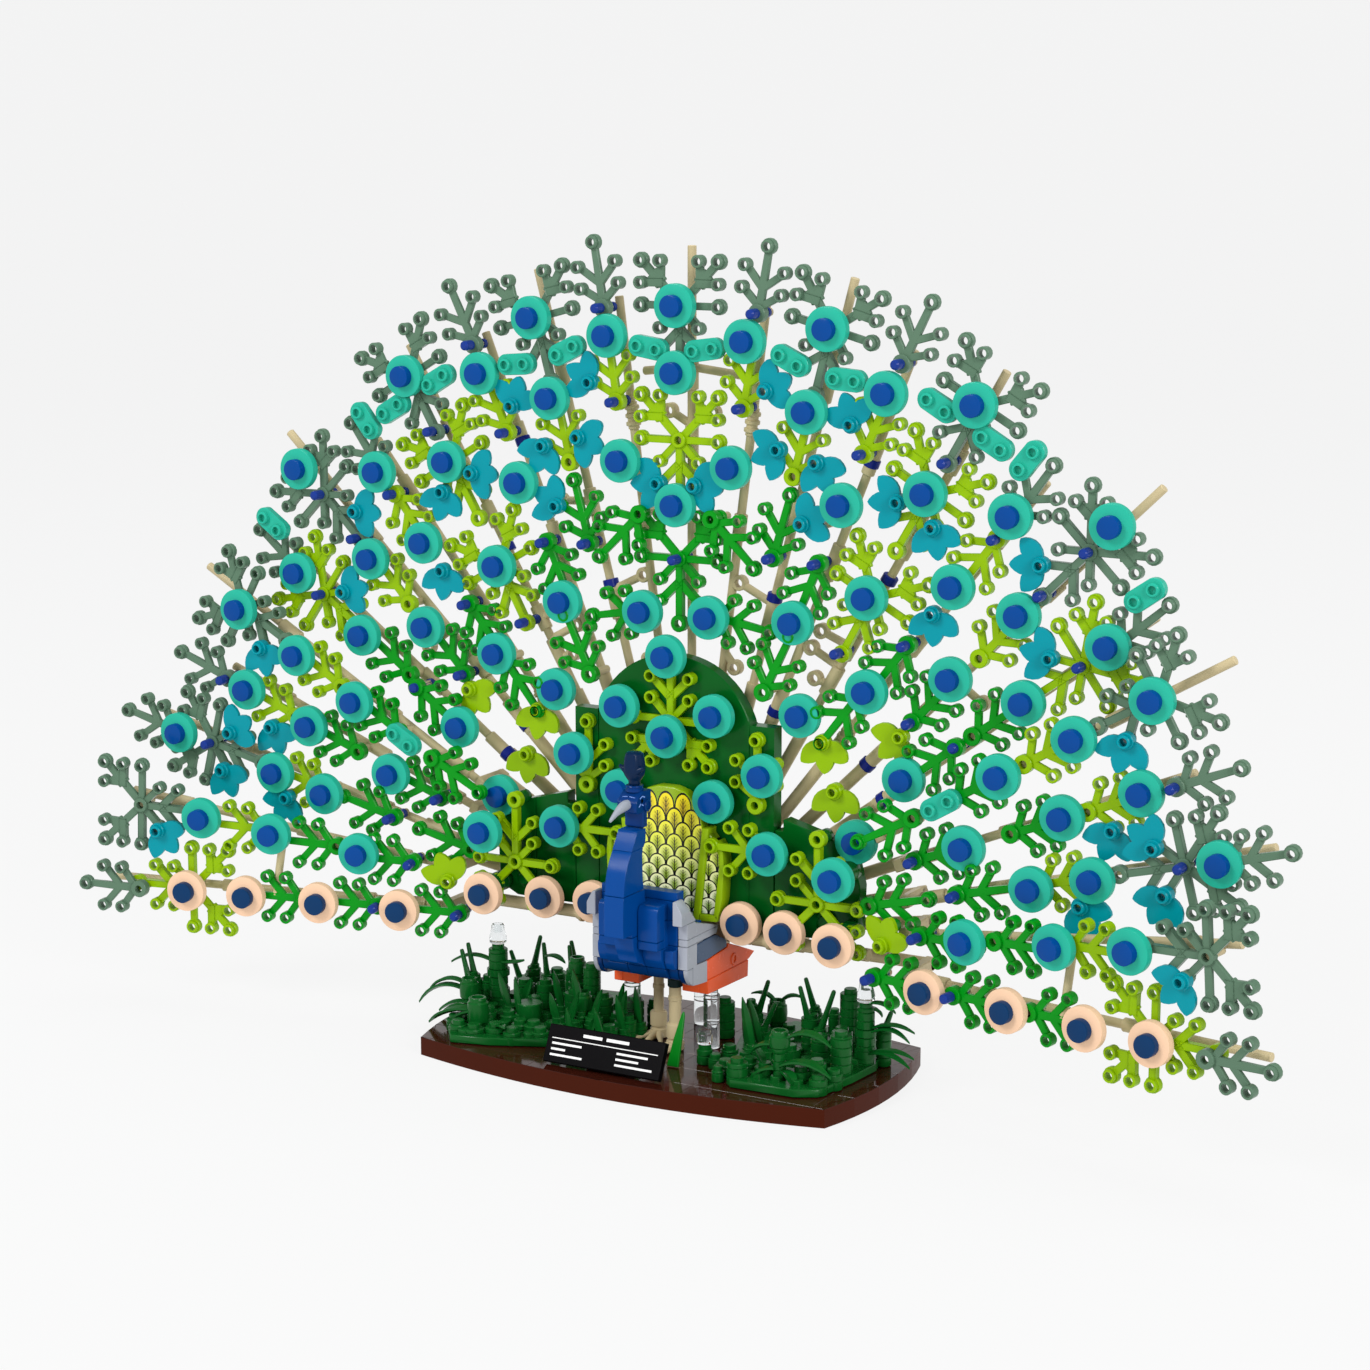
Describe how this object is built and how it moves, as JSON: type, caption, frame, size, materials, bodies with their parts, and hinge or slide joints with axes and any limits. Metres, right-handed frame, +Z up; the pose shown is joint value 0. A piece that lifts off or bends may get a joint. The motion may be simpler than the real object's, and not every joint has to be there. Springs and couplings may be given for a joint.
{
  "type": "toy brick-built peacock on a display base",
  "caption": "Brick-built toy peacock with its tail fanned out in rays of leaf pieces and round eyes, standing on a bow-edged display base with plants and a bare nameplate.",
  "frame": {"origin": "middle of the display base's underside, which is the bottom centre of the whole model's box", "axes": "+Z up, the bird looks along -Y, +X is on the bird's left side"},
  "size_m": [0.497, 0.102, 0.3059],
  "materials": {
    "base_brown": "gloss reddish-brown plates with darker tiles on top",
    "plate_black": "gloss black tile",
    "plant_green": "gloss dark-green leaves, stems and grass",
    "clear": "clear plastic round pieces",
    "bar_tan": "gloss tan bars and brackets",
    "body_blue": "gloss blue bricks",
    "head_navy": "gloss dark-blue bricks",
    "wing_grey": "gloss light-grey bricks",
    "wing_slate": "gloss slate-blue tiles",
    "wing_orange": "gloss reddish-orange bricks",
    "scale_print": "yellow-green curved plates printed with black-edged scales",
    "frame_olive": "gloss olive-lime curved strips",
    "panel_green": "gloss dark-green plates",
    "leaf_green": "gloss bright-green leaf pieces",
    "leaf_lime": "gloss lime leaf pieces",
    "leaf_sand": "gloss sand-green leaf pieces",
    "eye_teal": "gloss turquoise round discs",
    "eye_blue": "gloss blue round eye centres and pins",
    "eye_peach": "gloss pale-peach round discs",
    "flower_azure": "gloss azure five-petal flowers"
  },
  "bodies": {
    "root": {"base_plate": "base_brown", "nameplate": "plate_black", "nameplate_bracket": "plate_black", "plants_left": "plant_green", "lamp_left": "clear", "plants_right": "plant_green", "lamp_right": "clear", "leg_left": "bar_tan", "leg_right": "bar_tan", "prop_left": "clear", "prop_right": "clear", "prop_rear": "clear", "trunk": "body_blue", "breast_left": "body_blue", "breast_right": "body_blue", "neck": "body_blue", "head": "head_navy", "beak": "wing_grey", "crest": "head_navy", "wing_left_shoulder": "wing_grey", "wing_left_panel": "wing_slate", "wing_left_primaries": "wing_orange", "wing_right_shoulder": "wing_grey", "wing_right_panel": "wing_slate", "wing_right_primaries": "wing_orange", "back_scales": "scale_print", "back_frame_left": "frame_olive", "back_frame_right": "frame_olive", "panel_arch": "panel_green", "panel_left": "panel_green", "panel_right": "panel_green", "fan_hub": "bar_tan", "ray_long_left_0": "leaf_green", "ray_long_left_1": "leaf_green", "ray_long_right_1": "leaf_green", "ray_long_left_2": "leaf_green", "ray_long_right_2": "leaf_green", "ray_long_left_3": "leaf_green", "ray_long_right_3": "leaf_green", "ray_long_left_4": "leaf_green", "ray_long_right_4": "leaf_green", "ray_long_left_5": "leaf_green", "ray_long_right_5": "leaf_green", "ray_long_left_6": "leaf_green", "ray_long_right_6": "leaf_green", "ray_short_left_1": "leaf_green", "ray_short_right_1": "leaf_green", "ray_short_left_2": "leaf_green", "ray_short_right_2": "leaf_green", "ray_short_left_3": "leaf_green", "ray_short_right_3": "leaf_green", "ray_short_left_4": "leaf_green", "ray_short_right_4": "leaf_green", "ray_short_left_5": "leaf_green", "ray_short_right_5": "leaf_green", "ray_short_left_6": "leaf_green", "ray_short_right_6": "leaf_green", "row_left": "bar_tan", "row_right": "bar_tan"}
  },
  "joints": []
}
